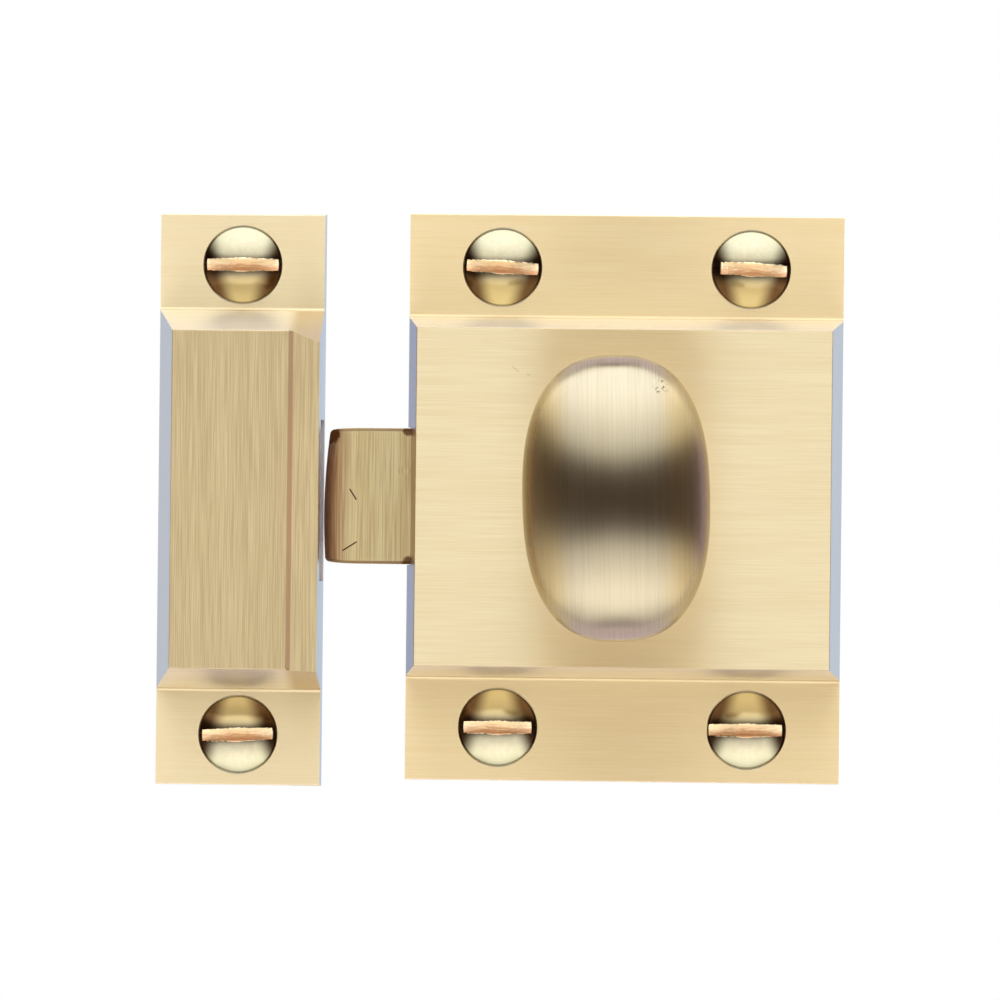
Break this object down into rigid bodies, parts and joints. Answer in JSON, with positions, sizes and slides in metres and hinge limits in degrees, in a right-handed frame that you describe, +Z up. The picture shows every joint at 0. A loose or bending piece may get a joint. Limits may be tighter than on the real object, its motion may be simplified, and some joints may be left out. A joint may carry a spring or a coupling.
{
  "type": "cupboard catch latch",
  "caption": "Surface-mounted cupboard latch in satin brass: an oval turn knob draws back a sprung bolt that engages a matching box keeper.",
  "frame": {"origin": "middle of the case's screw pattern, on the mounting plane", "axes": "+X from the keeper towards the case, +Y into the door, +Z up; the raised faces and the knob look along -Y"},
  "size_m": [0.0611, 0.0425, 0.0515],
  "materials": {
    "satin_brass": "satin, brushed in one direction and lacquered",
    "plain_brass": "as rolled",
    "screw_brass": "bright, with bare coppery slots",
    "bright_steel": "turned",
    "spring_steel": "drawn wire"
  },
  "bodies": {
    "case": {"latch_case": "satin_brass", "back_plate": "plain_brass", "back_plate_screws": "screw_brass", "case_screws": "screw_brass", "keeper": "satin_brass", "keeper_screws": "screw_brass", "bolt_spring": "spring_steel"},
    "turn": {"knob": "satin_brass", "knob_washer": "plain_brass", "spindle": "bright_steel", "cam": "bright_steel"},
    "bolt": {"bolt": "satin_brass"}
  },
  "joints": [
    {"name": "knob_turn", "type": "hinge", "parent": "case", "child": "turn", "pos_m": [-0.0004, 0, 0], "axis": [0, 1, 0], "range_deg": [0, 80]},
    {"name": "bolt_slide", "type": "slide", "parent": "case", "child": "bolt", "axis": [1, 0, 0], "range_m": [0, 0.00698], "stiffness_N_per_m": 300, "springref_m": -0.008, "deforming": ["bolt_spring"]}
  ],
  "couplings": [
    {"joint": "knob_turn", "follows": "bolt_slide", "rad_per_m": 200}
  ]
}
